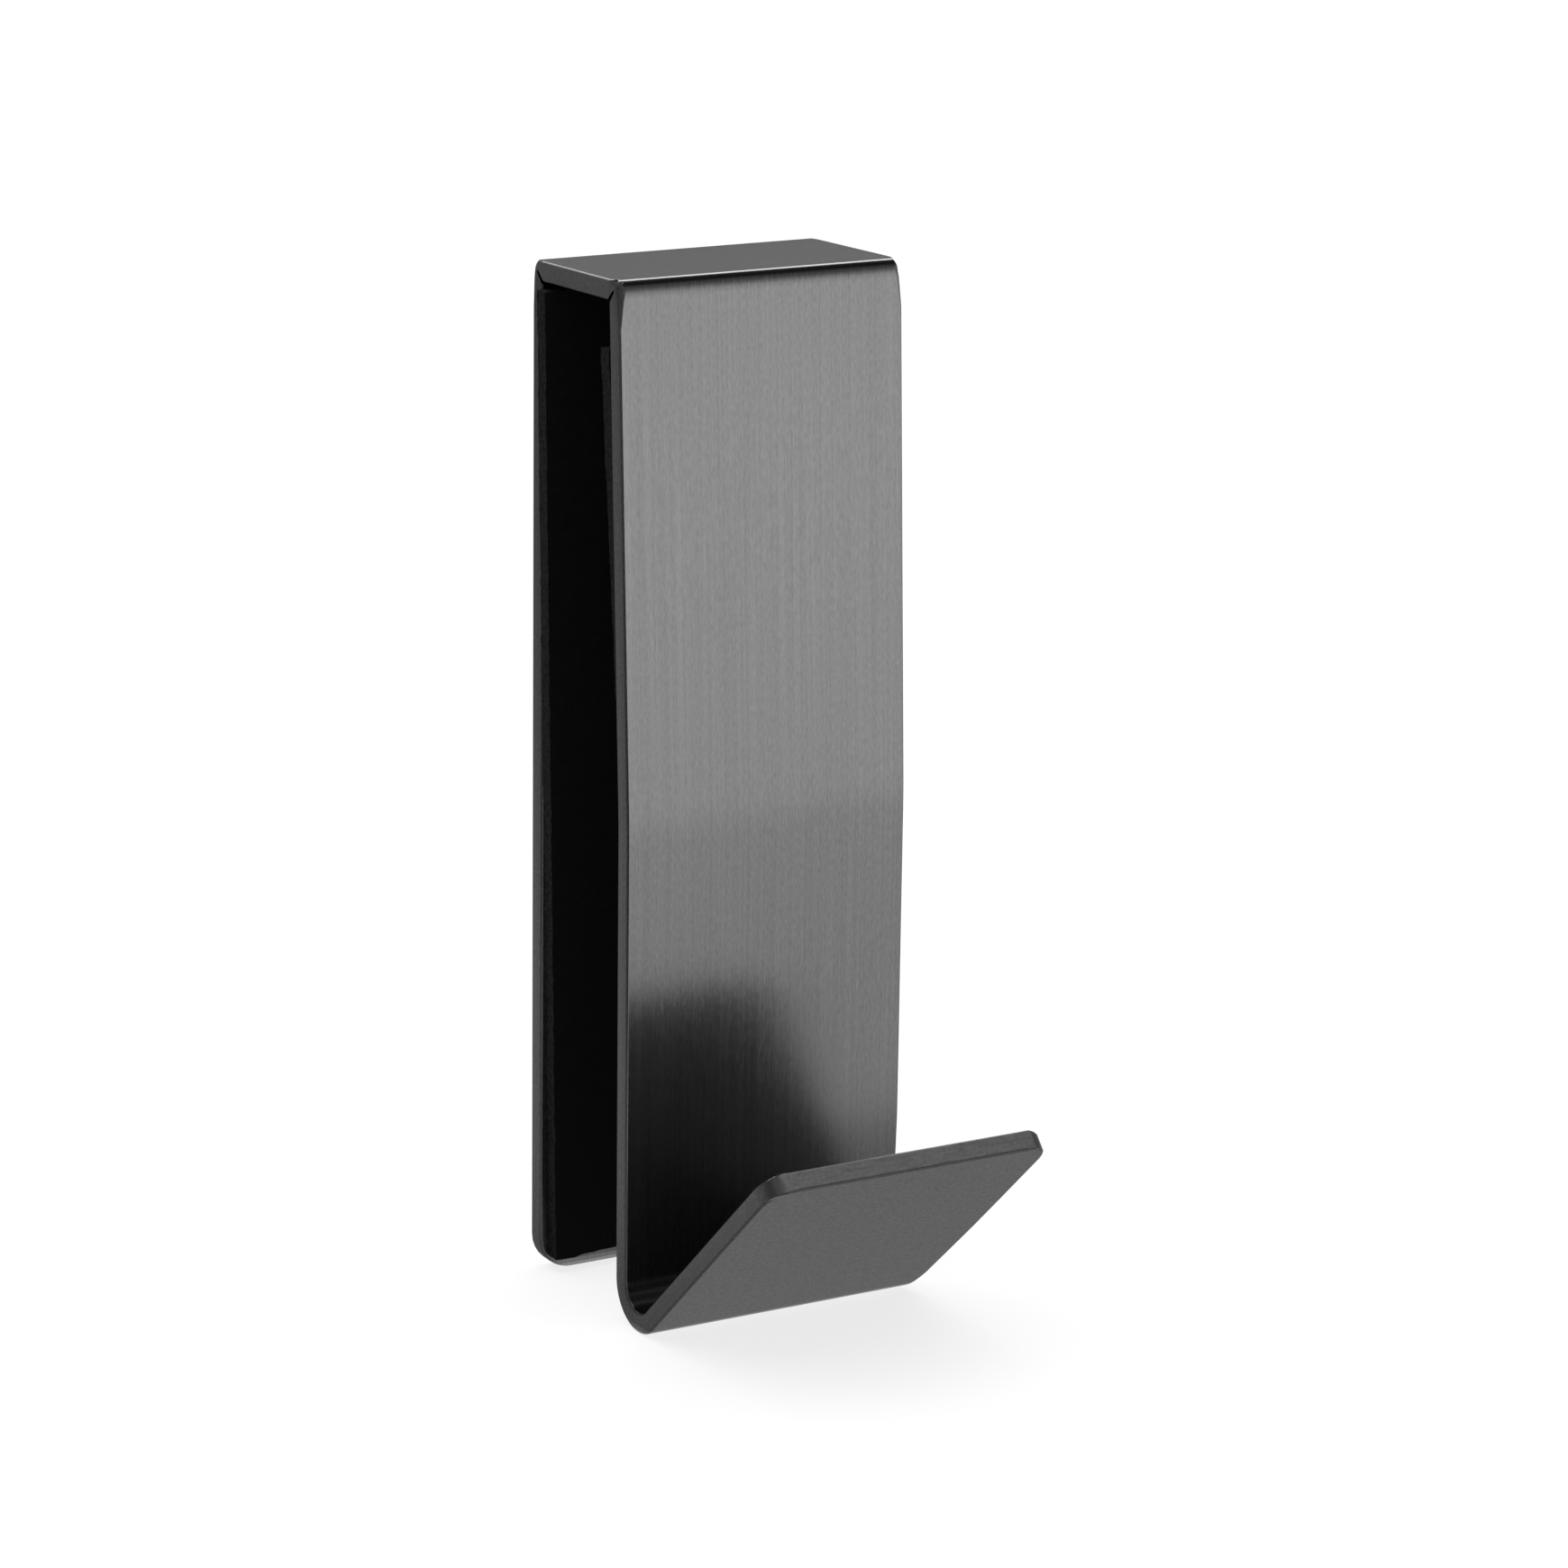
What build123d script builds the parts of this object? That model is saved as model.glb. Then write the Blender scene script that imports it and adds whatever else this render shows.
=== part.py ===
from build123d import *
import os
from math import cos, radians, sin, sqrt, tan

# Shower screen hook: one strip of sheet folded over the top edge of a glass panel,
# with its front leg turned up into a flap, and two soft pads inside the channel.
# Millimetres. X runs across the strip, -Y is the room side, +Z is up.
# The origin is the middle of the bridge's underside, where the glass edge seats.

# Folded sheet
sheet_thickness = 2.0
hook_width = 30.0
channel_width = 13.2
back_leg_height = 100.0
hook_height = 100.0
back_leg_splay = 1.7
front_leg_splay = 1.1

# Gentle set that turns the lower half of the front leg back towards the glass
set_height = 51.0
set_angle = 2.6
set_radius = 80.0

# Crook and flap
bend_radius = 2.35
flap_length = 30.5
flap_angle = 49.0

# Folds at the bridge, grooved on the inside and closed to a fine seam
fold_radius = 1.2
seam_mouth = 0.4
seam_web = 0.5

# Corners and edges of the strip
leg_corner_radius = 3.5
flap_corner_radius = 2.5
edge_radius = 0.25
shoulder_inset = 0.4
shoulder_height = 5.5
facet_height = 4.5
facet_lean = 11.0
facet_reach = 6.0  # longer than any facet's way up to the bridge
rim_slant = 0.05  # sideways share of a face's normal that makes it part of the rim

# Soft pads, stuck on by hand and so a little askew
pad_thickness = 1.5
pad_width = 28.5
rear_pad_top_gap = 2.5
rear_pad_end_gap = 1.4
rear_pad_skew = 0.9
rear_pad_shift = -0.55
front_pad_top_gap = 4.7
front_pad_length = 85.0
front_pad_skew = 1.6
front_pad_shift = 0.27

top = sheet_thickness
leg_lean = set_angle - front_leg_splay
outer_bend_radius = bend_radius + sheet_thickness
bend_turn = 180 - flap_angle + leg_lean

# Lines of the channel's inner faces, as (Y, Z)
back_fold = (channel_width / 2, 0)
front_fold = (-channel_width / 2, 0)
back_foot_z = top - back_leg_height
back_foot = (channel_width / 2 - back_foot_z * tan(radians(back_leg_splay)), back_foot_z)
set_tangent = set_radius * tan(radians(set_angle) / 2)
upper_leg_length = (set_height - top) / cos(radians(front_leg_splay)) - set_tangent
upper_leg_direction = (-sin(radians(front_leg_splay)), -cos(radians(front_leg_splay)))
bend_start_z = top - hook_height + outer_bend_radius * (1 + sin(radians(leg_lean)))

# Outward way and splay of the leg below the back fold and the front fold
folds = ((1, back_leg_splay), (-1, front_leg_splay))


def mitre_line(outward, splay):
    half_fold = radians(45 + splay / 2)
    return Vector(outward * cos(half_fold), sin(half_fold))


def outer_corner(outward, splay):
    along = mitre_line(outward, splay)
    return Vector(outward * channel_width / 2, 0) + along * (sheet_thickness / along.Y)


def mid_thickness(point, direction):
    return point + Vector(direction.Y, -direction.X) * (sheet_thickness / 2)


with BuildPart() as folded_sheet:
    with BuildSketch(Plane.YZ) as side_profile:
        with BuildLine():
            back_leg = Line(back_foot, back_fold)
            Line(back_fold, front_fold)
            upper_leg = PolarLine(front_fold, upper_leg_length, direction=upper_leg_direction)
            leg_set = JernArc(upper_leg @ 1, upper_leg % 1, set_radius, set_angle)
            lower_leg_length = ((leg_set @ 1).Y - bend_start_z) / cos(radians(leg_lean))
            lower_leg = PolarLine(leg_set @ 1, lower_leg_length, direction=leg_set % 1)
            bend = JernArc(lower_leg @ 1, lower_leg % 1, outer_bend_radius, -bend_turn)
            flap = PolarLine(bend @ 1, flap_length, direction=bend % 1)
            offset(amount=sheet_thickness, side=Side.LEFT, kind=Kind.INTERSECTION)
        make_face()
        fillet(side_profile.vertices().group_by(Axis.Y)[-1], fold_radius)
    extrude(amount=hook_width / 2, both=True)

    # The strip narrows a little at the folds, where its sides were dressed
    with BuildSketch(Plane.XZ):
        with BuildLine():
            shoulder_low = (hook_width / 2, top - shoulder_height)
            shoulder_high = (hook_width / 2 - shoulder_inset, top)
            TangentArc(shoulder_low, shoulder_high, tangent=(0, 1))
            Polyline(shoulder_high, (hook_width / 2, top), shoulder_low)
        make_face()
        mirror(about=Plane.YZ)
    extrude(amount=hook_height, both=True, mode=Mode.SUBTRACT)

    # Rounded corners at the foot of the back leg and the tip of the flap
    foot = mid_thickness(back_leg @ 0, back_leg % 0)
    tip = mid_thickness(flap @ 1, flap % 1)
    for end, radius in ((foot, leg_corner_radius), (tip, flap_corner_radius)):
        for side in (-hook_width / 2, hook_width / 2):
            corner = folded_sheet.edges().sort_by_distance((side, end.X, end.Y))[0]
            fillet(corner, radius)

    # Eased edges all round, where the strip's rim meets its two broad faces
    rim = folded_sheet.faces().filter_by(lambda face: abs(face.normal_at().X) > rim_slant)
    for end in (foot, tip):
        rim.append(folded_sheet.faces().sort_by_distance((0, end.X, end.Y))[0])
    skin = folded_sheet.faces() - rim
    fillet(rim.edges() & skin.edges(), edge_radius)

    # Corners dressed back to a slim facet where the legs run up into the folds
    slant = cos(radians(facet_lean)) / sqrt(2)
    for outward, splay in folds:
        leg_y = outer_corner(outward, splay).X + outward * facet_height * tan(radians(splay))
        for side in (-1, 1):
            facing = Vector(side * slant, outward * slant, sin(radians(facet_lean)))
            upward = Vector(0, 0, 1) - facing * facing.Z
            with Locations(Plane((side * hook_width / 2, leg_y, top - facet_height), upward, facing)):
                Box(facet_reach, facet_reach, facet_reach, mode=Mode.SUBTRACT,
                    align=(Align.MIN, Align.CENTER, Align.MIN))

    # Fine seams of the closed grooves, from each inner fold towards the outer corner
    with BuildSketch(Plane.YZ):
        for outward, splay in folds:
            along = mitre_line(outward, splay)
            across = Vector(-along.Y, along.X) * (seam_mouth / 2)
            fold = Vector(outward * channel_width / 2, 0)
            rounding = fold_radius * (1 / along.Y - 1)
            root = fold + along * (sheet_thickness / along.Y - rounding - seam_web)
            mouth = fold - along * seam_mouth
            with BuildLine():
                Polyline(mouth + across, root, mouth - across, close=True)
            make_face()
    extrude(amount=hook_width, both=True, mode=Mode.SUBTRACT)

rear_pad_length = back_leg_height - top - rear_pad_top_gap - rear_pad_end_gap
with BuildPart() as rear_pad:
    with BuildSketch(Plane.YZ):
        with BuildLine():
            add(back_leg)
            offset(amount=pad_thickness, side=Side.LEFT, kind=Kind.INTERSECTION)
        make_face()
    extrude(amount=hook_width, both=True)
    with BuildSketch(Plane.XZ):
        with Locations((rear_pad_shift, -rear_pad_top_gap - rear_pad_length / 2)):
            Rectangle(pad_width, rear_pad_length, rotation=rear_pad_skew)
    extrude(amount=hook_height, both=True, mode=Mode.INTERSECT)

with BuildPart() as front_pad:
    with BuildSketch(Plane.YZ):
        with BuildLine():
            add([upper_leg, leg_set, lower_leg])
            offset(amount=pad_thickness, side=Side.LEFT, kind=Kind.INTERSECTION)
        make_face()
    extrude(amount=hook_width, both=True)
    with BuildSketch(Plane.XZ):
        with Locations((front_pad_shift, -front_pad_top_gap - front_pad_length / 2)):
            Rectangle(pad_width, front_pad_length, rotation=front_pad_skew)
    extrude(amount=hook_height, both=True, mode=Mode.INTERSECT)

folded_sheet.part.label = "folded_sheet"
rear_pad.part.label = "rear_pad"
front_pad.part.label = "front_pad"

os.makedirs("parts", exist_ok=True)
export_step(folded_sheet.part, "parts/folded_sheet.step")
export_step(rear_pad.part, "parts/rear_pad.step")
export_step(front_pad.part, "parts/front_pad.step")
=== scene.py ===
import bpy
import math
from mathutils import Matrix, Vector


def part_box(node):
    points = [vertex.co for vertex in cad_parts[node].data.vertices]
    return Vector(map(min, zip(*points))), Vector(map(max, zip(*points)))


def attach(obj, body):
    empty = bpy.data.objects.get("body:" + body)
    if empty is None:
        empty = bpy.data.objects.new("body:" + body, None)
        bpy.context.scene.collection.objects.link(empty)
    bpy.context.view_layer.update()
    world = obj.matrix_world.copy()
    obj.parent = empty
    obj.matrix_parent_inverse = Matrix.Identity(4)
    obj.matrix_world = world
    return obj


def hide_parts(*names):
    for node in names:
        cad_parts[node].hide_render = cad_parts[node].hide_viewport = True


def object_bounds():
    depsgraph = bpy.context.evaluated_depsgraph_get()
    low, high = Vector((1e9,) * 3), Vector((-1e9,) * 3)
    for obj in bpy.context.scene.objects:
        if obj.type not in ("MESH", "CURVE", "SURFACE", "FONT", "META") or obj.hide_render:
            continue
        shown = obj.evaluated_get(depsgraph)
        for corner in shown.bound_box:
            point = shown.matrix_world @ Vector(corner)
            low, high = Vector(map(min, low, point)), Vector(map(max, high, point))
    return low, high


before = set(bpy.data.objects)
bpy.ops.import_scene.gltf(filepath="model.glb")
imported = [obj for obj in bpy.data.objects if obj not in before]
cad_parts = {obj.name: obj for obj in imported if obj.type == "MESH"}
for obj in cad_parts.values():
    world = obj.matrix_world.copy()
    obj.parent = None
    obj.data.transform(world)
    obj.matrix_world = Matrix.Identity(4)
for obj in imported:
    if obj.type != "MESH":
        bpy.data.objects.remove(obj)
cadLow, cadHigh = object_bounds()
print("frame loaded:", sorted(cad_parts))


def deselectAll():
    if bpy.context.mode != "OBJECT":
        bpy.ops.object.mode_set(mode="OBJECT")
    bpy.ops.object.select_all(action="DESELECT")


def makeActive(piece):
    deselectAll()
    piece.select_set(True)
    bpy.context.view_layer.objects.active = piece


def pickVerts(piece, wanted):
    # picks vertices by place or number and leaves the piece in edit mode
    bpy.ops.object.mode_set(mode="EDIT")
    bpy.ops.mesh.select_mode(type="VERT")
    bpy.ops.mesh.select_all(action="DESELECT")
    bpy.ops.object.mode_set(mode="OBJECT")
    for vert in piece.data.vertices:
        vert.select = wanted(vert)
    bpy.ops.object.mode_set(mode="EDIT")


def applyModifier(piece, kind, **settings):
    makeActive(piece)
    mod = piece.modifiers.new(kind.lower(), kind)
    for key, value in settings.items():
        setattr(mod, key, value)
    bpy.ops.object.modifier_apply(modifier=mod.name)


def meshBox(piece):
    # lowest and highest corner, to print beside the CAD's
    spots = [vert.co for vert in piece.data.vertices]
    return [[pick(spot[axis] for spot in spots) for axis in range(3)] for pick in (min, max)]


def inMillimetres(corners):
    return [[round(1000 * c, 3) for c in corner] for corner in corners]


def newNode(tree, kind, place, **settings):
    node = tree.nodes.new(kind)
    node.location = place
    for key, value in settings.items():
        setattr(node, key, value)
    return node


def mathNode(tree, operation, place, first, second=None):
    node = newNode(tree, "ShaderNodeMath", place, operation=operation)
    for socket, value in zip(node.inputs, (first, second)):
        if isinstance(value, (int, float)):
            socket.default_value = value
        elif value is not None:
            tree.links.new(value, socket)
    return node.outputs[0]


def rangeNode(tree, value, fromLow, fromHigh, toLow, toHigh, place, smooth=False):
    node = newNode(tree, "ShaderNodeMapRange", place)
    node.interpolation_type = "SMOOTHSTEP" if smooth else "LINEAR"
    tree.links.new(value, node.inputs["Value"])
    limits = {"From Min": fromLow, "From Max": fromHigh, "To Min": toLow, "To Max": toHigh}
    for name, number in limits.items():
        node.inputs[name].default_value = number
    return node.outputs["Result"]


def maskNode(tree, value, span, place):
    # rises softly from none to all over the span
    return rangeNode(tree, value, *span, 0.0, 1.0, place, smooth=True)


def mixNode(tree, factor, first, second, place):
    node = newNode(tree, "ShaderNodeMix", place)
    for name, value in (("Factor", factor), ("A", first), ("B", second)):
        socket = next(s for s in node.inputs if s.name == name and s.enabled)
        if isinstance(value, (int, float)):
            socket.default_value = value
        else:
            tree.links.new(value, socket)
    return next(s for s in node.outputs if s.enabled)


def emptyMaterial(name):
    material = bpy.data.materials.new(name)
    material.use_nodes = True
    tree = material.node_tree
    tree.nodes.clear()
    return material, tree, newNode(tree, "ShaderNodeOutputMaterial", (900, 0))


def freshMaterial(name):
    material, tree, out = emptyMaterial(name)
    shader = newNode(tree, "ShaderNodeBsdfPrincipled", (600, 0))
    tree.links.new(shader.outputs[0], out.inputs["Surface"])
    return material, tree, shader


# camera at the photograph's viewing angle
cameraView = {
    "azimuth": -29.661,
    "elevation": 13.819,
    "distance": 0.461918,
    "aim": (-0.012333, -0.0342, -0.0397),
    "lens": 119.69,
    "sensor": 36.0,
    "near": 0.01,
    "far": 50.0,
}
turn, rise = math.radians(cameraView["azimuth"]), math.radians(cameraView["elevation"])
backward = Vector((math.sin(turn) * math.cos(rise), -math.cos(turn) * math.cos(rise),
                   math.sin(rise)))
deselectAll()
bpy.ops.object.camera_add(location=Vector(cameraView["aim"]) + backward * cameraView["distance"])
camera = bpy.context.object
camera.name = "photoCamera"
camera.rotation_euler = (-backward).to_track_quat("-Z", "Y").to_euler()
camera.data.lens = cameraView["lens"]
camera.data.sensor_width = cameraView["sensor"]
camera.data.clip_start = cameraView["near"]
camera.data.clip_end = cameraView["far"]
bpy.context.scene.camera = camera
print("camera placed")


def addSocket(group, name, inOut, kind, value=None):
    socket = group.interface.new_socket(name=name, in_out=inOut, socket_type=kind)
    if value is not None:
        socket.default_value = value


def makeStreakGroup():
    # brushing: noise packed close across the strip, in X, and drawn out along it, in Y and Z
    group = bpy.data.node_groups.new("brushStreaks", "ShaderNodeTree")
    addSocket(group, "Across strip", "INPUT", "NodeSocketFloat", 3000.0)   # streaks per metre
    addSocket(group, "Along strip", "INPUT", "NodeSocketFloat", 200.0)
    addSocket(group, "Detail", "INPUT", "NodeSocketFloat", 2.0)
    addSocket(group, "Streaks", "OUTPUT", "NodeSocketFloat")
    given = newNode(group, "NodeGroupInput", (-800, 0))
    made = newNode(group, "NodeGroupOutput", (400, 0))
    coords = newNode(group, "ShaderNodeTexCoord", (-800, 300))
    spacing = newNode(group, "ShaderNodeCombineXYZ", (-600, 0))
    group.links.new(given.outputs["Across strip"], spacing.inputs["X"])
    group.links.new(given.outputs["Along strip"], spacing.inputs["Y"])
    group.links.new(given.outputs["Along strip"], spacing.inputs["Z"])
    stretched = newNode(group, "ShaderNodeVectorMath", (-400, 100), operation="MULTIPLY")
    group.links.new(coords.outputs["Object"], stretched.inputs[0])
    group.links.new(spacing.outputs[0], stretched.inputs[1])
    noise = newNode(group, "ShaderNodeTexNoise", (-150, 100))
    noise.inputs["Scale"].default_value = 1.0
    noise.inputs["Roughness"].default_value = 0.55
    group.links.new(stretched.outputs[0], noise.inputs["Vector"])
    group.links.new(given.outputs["Detail"], noise.inputs["Detail"])
    group.links.new(noise.outputs["Fac"], made.inputs["Streaks"])
    return group


def makeSpeckleGroup():
    # even speckle, for cut foam and for the tooth of the metal's rim
    group = bpy.data.node_groups.new("fineSpeckle", "ShaderNodeTree")
    addSocket(group, "Grains per metre", "INPUT", "NodeSocketFloat", 2500.0)
    addSocket(group, "Detail", "INPUT", "NodeSocketFloat", 3.0)
    addSocket(group, "Speckle", "OUTPUT", "NodeSocketFloat")
    given = newNode(group, "NodeGroupInput", (-600, 0))
    made = newNode(group, "NodeGroupOutput", (400, 0))
    coords = newNode(group, "ShaderNodeTexCoord", (-600, 300))
    noise = newNode(group, "ShaderNodeTexNoise", (-150, 100))
    noise.inputs["Roughness"].default_value = 0.6
    group.links.new(coords.outputs["Object"], noise.inputs["Vector"])
    group.links.new(given.outputs["Grains per metre"], noise.inputs["Scale"])
    group.links.new(given.outputs["Detail"], noise.inputs["Detail"])
    group.links.new(noise.outputs["Fac"], made.inputs["Speckle"])
    return group


brushStreaks = makeStreakGroup()
fineSpeckle = makeSpeckleGroup()


def useGroup(tree, group, place, **values):
    node = newNode(tree, "ShaderNodeGroup", place)
    node.node_tree = group
    for name, value in values.items():
        node.inputs[name.replace("_", " ")].default_value = value
    return node.outputs[0]


# folded strip: one section drawn once, then run from the back leg's foot to the flap's tip
strip = {
    "node": "folded_sheet",
    "width": 0.030,
    "thickness": 0.002,
    "channel": 0.0132,
    "footDrop": 0.098,
    "backSplay": 1.7,
    "frontSplay": 1.1,
    "setDrop": 0.049,         # where the front leg turns a little back towards the glass
    "setAngle": 2.6,
    "setRadius": 0.080,
    "bendRadius": 0.00235,
    "flapLength": 0.0305,
    "flapAngle": 49.0,
    "footCorner": 0.0035,
    "tipCorner": 0.0028,
    "easing": 0.00025,
    "foldRadius": 0.0008,
    "foldTail": 0.0012,       # a leg's outer face draws in over this length below the fold
    "foldTailLean": 14.0,
    "frontWear": 0.00055,     # how much wider the outer edges are dressed at a fold
    "backWear": 0.00018,
    "wearTop": 0.0008,        # strongest this far down, then running out along the leg
    "wearShare": 0.85,        # what is left of it on the fold's crest
    "wearLeg": 0.0037,
    "wearBridge": 0.0008,     # and it runs out over this length of the bridge
    "seamMouth": 0.00048,
    "seamRoot": 0.00030,
    "seamWeb": 0.00100,
    "crookPulls": ((0.0004, 0.018), (0.0008, 0.0042)),   # right end drawn in, over what reach
    "crookBand": 0.0001,      # what is pulled lies this close to the bottom
    "cornerSteps": 4,
    "cornerProfile": 0.32,    # nearer a flat than a round
    "smoothAngle": 38.0,
    "normalWeight": 60,
    "mergeGap": 2e-6,
}
# where the sections stand: distances, shares of a leg, or counts
stripSteps = {
    "easeAngles": (0, 22, 45, 67, 90),
    "cornerAngles": (30, 41, 53, 65, 77, 90),
    "backRows": 11,
    "backGap": 0.0078,
    "backStart": 0.2,         # of a gap
    "foldLegUps": (-0.0050, -0.0040, -0.0032, -0.0025, -0.0019, -0.0014, -0.0009),
    "foldTail": 8,
    "foldRound": 14,
    "foldBridgeOuts": (0.0006, 0.0004, 0.0002, 0.0, -0.0008, -0.0030),
    "upperShares": (0.2, 0.36, 0.52, 0.68, 0.84),
    "set": 6,
    "lowerShares": (0.18, 0.36, 0.54, 0.72, 0.9),
    "bend": 36,
    "flapStarts": (0.0009, 0.0019, 0.0031),
    "flapRows": 4,
    "flapGap": 0.006,
}


def way(degrees):
    # unit direction in the side view, Y then Z
    return Vector((math.cos(math.radians(degrees)), math.sin(math.radians(degrees))))


def turnPicked(degrees, axis, centre):
    # transform.rotate turns the other way without a window
    bpy.ops.transform.rotate(value=-math.radians(degrees), orient_axis=axis, center_override=centre)


def foldCurve(splay):
    # outer face from leg to bridge, as distance out from the inner fold and up from it
    lean, turned = math.radians(splay), math.radians(strip["foldTailLean"])
    tailSteps, roundSteps = stripSteps["foldTail"], stripSteps["foldRound"]
    points = [Vector((0.0, 0.0))]
    for step in range(tailSteps):
        tilt = lean + (turned - lean) * (step + 0.5) / tailSteps
        upward = Vector((-math.sin(tilt), math.cos(tilt)))
        points.append(points[-1] + upward * strip["foldTail"] / tailSteps)
    for step in range(roundSteps):
        tilt = turned + (math.pi / 2 - turned) * (step + 0.5) / roundSteps
        chord = strip["foldRadius"] * (math.pi / 2 - turned) / roundSteps
        points.append(points[-1] + Vector((-math.sin(tilt), math.cos(tilt))) * chord)
    rise = strip["thickness"] - points[-1].y
    start = Vector((strip["thickness"] / math.cos(lean) - rise * math.tan(lean), rise))
    return [start + point for point in points]


def wearAt(below, past):
    # share of the dressing at a depth below the bridge's top or a distance along the bridge
    if below < strip["wearTop"]:
        wear = strip["wearShare"] + (1.0 - strip["wearShare"]) * below / strip["wearTop"]
    else:
        wear = max(0.0, 1.0 - (below - strip["wearTop"]) / strip["wearLeg"])
    return wear * max(0.0, 1.0 - past / strip["wearBridge"])


def foldRows(outward, splay, dressing):
    # sections fanned about the inner fold, from the leg up and on to the bridge
    thick, half = strip["thickness"], strip["width"] / 2
    lean = math.radians(splay)
    level = 1e-7              # this close under the bridge's top is on it
    curve = foldCurve(splay)
    leg = [Vector((thick / math.cos(lean) - up * math.tan(lean), up))
           for up in stripSteps["foldLegUps"]]
    bridge = [Vector((out, thick)) for out in stripSteps["foldBridgeOuts"]]
    centre = Vector((strip["channel"] / 2, 0.0))
    rows = []
    for point in leg + curve + bridge:
        below = thick - point.y
        past = max(curve[-1].x - point.x, 0.0) if below < level else 0.0
        if point.y > 0:
            inner = Vector((min(point.x, 0.0), 0.0))
        else:
            inner = Vector((-point.y * math.tan(lean), point.y))
        ends = [Vector((outward * (centre.x + p.x), p.y)) for p in (inner, point)]
        rows.append((ends[0], ends[1], half, strip["easing"] + dressing * wearAt(below, past)))
    return rows


def endRows(corner):
    # distance from the strip's end, easing of its faces there, half width
    half, ease = strip["width"] / 2, strip["easing"]
    steps = [ease * (1 - math.cos(math.radians(a))) for a in stripSteps["easeAngles"]]
    steps += [corner * (1 - math.cos(math.radians(a))) for a in stripSteps["cornerAngles"]]
    rows = []
    for step in sorted(steps):
        inset = ease - math.sqrt(ease ** 2 - (ease - step) ** 2) if step < ease else 0.0
        cut = corner - math.sqrt(corner ** 2 - (corner - step) ** 2) if step < corner else 0.0
        rows.append((step, inset, half - cut - inset))
    return rows


def stripRows():
    # every section's inner and outer point in the side view, its half width and its easing
    thick, half, ease = strip["thickness"], strip["width"] / 2, strip["easing"]
    rows = []

    def square(inner, facing, inset=0.0, rowHalf=half):
        outer = inner + way(facing) * (thick - inset)
        rows.append((inner + way(facing) * inset, outer, rowHalf, ease))

    # back leg, foot first
    backFacing, drop = strip["backSplay"], strip["footDrop"]
    foot = Vector((strip["channel"] / 2 + drop * math.tan(math.radians(backFacing)), -drop))
    upLeg = way(90 + backFacing)
    for step, inset, rowHalf in endRows(strip["footCorner"]):
        square(foot + upLeg * step, backFacing, inset, rowHalf)
    for step in range(1, stripSteps["backRows"] + 1):
        square(foot + upLeg * stripSteps["backGap"] * (step + stripSteps["backStart"]), backFacing)
    # its fold, the bridge and the front fold
    rows += foldRows(1, backFacing, strip["backWear"])
    rows += reversed(foldRows(-1, strip["frontSplay"], strip["frontWear"]))
    # front leg down to its set
    facing = 180 - strip["frontSplay"]
    corner = Vector((-strip["channel"] / 2, 0.0))
    tangent = strip["setRadius"] * math.tan(math.radians(strip["setAngle"]) / 2)
    upper = strip["setDrop"] / math.cos(math.radians(strip["frontSplay"])) - tangent
    for share in stripSteps["upperShares"]:
        square(corner + way(facing + 90) * upper * share, facing)
    setStart = corner + way(facing + 90) * upper
    setCentre = setStart + way(facing + 180) * strip["setRadius"]
    for step in range(stripSteps["set"] + 1):
        turned = facing + strip["setAngle"] * step / stripSteps["set"]
        square(setCentre - way(turned + 180) * strip["setRadius"], turned)
    facing += strip["setAngle"]
    setEnd = setCentre - way(facing + 180) * strip["setRadius"]
    # lower leg and crook
    outerBend = strip["bendRadius"] + thick
    legLean = math.radians(strip["setAngle"] - strip["frontSplay"])
    bendZ = outerBend * (1 + math.sin(legLean)) - drop
    lower = (setEnd.y - bendZ) / math.cos(legLean)
    for share in stripSteps["lowerShares"]:
        square(setEnd + way(facing + 90) * lower * share, facing)
    bendCentre = setEnd + way(facing + 90) * lower + way(facing) * outerBend
    for step in range(stripSteps["bend"] + 1):
        turned = facing + (strip["flapAngle"] - facing) * step / stripSteps["bend"]
        square(bendCentre - way(turned) * outerBend, turned)
    # flap up to its tip
    facing = strip["flapAngle"]
    bendEnd = bendCentre - way(facing) * outerBend
    upFlap = way(facing + 90)
    tip = bendEnd + upFlap * strip["flapLength"]
    for step in stripSteps["flapStarts"]:
        square(bendEnd + upFlap * step, facing)
    for step in range(stripSteps["flapRows"], 0, -1):
        square(tip - upFlap * stripSteps["flapGap"] * step, facing)
    for step, inset, rowHalf in reversed(endRows(strip["tipCorner"])):
        square(tip - upFlap * step, facing, inset, rowHalf)
    return rows


def easeCorners(piece, inner, outer, half, growth):
    # rounds the section just drawn at its two outer corners, each about its own corner point
    bpy.ops.object.mode_set(mode="OBJECT")
    section = {vert.index for vert in piece.data.vertices if vert.select}
    middle, outward = (inner + outer) / 2, outer - inner
    for side in (-1, 1):
        pickVerts(piece, lambda v: v.index in section and v.co.x * side > 0
                  and (v.co.yz - middle).dot(outward) > 0)
        bpy.ops.transform.resize(value=(growth,) * 3,
                                 center_override=(side * half, outer.x, outer.y))
    pickVerts(piece, lambda v: v.index in section)


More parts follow.
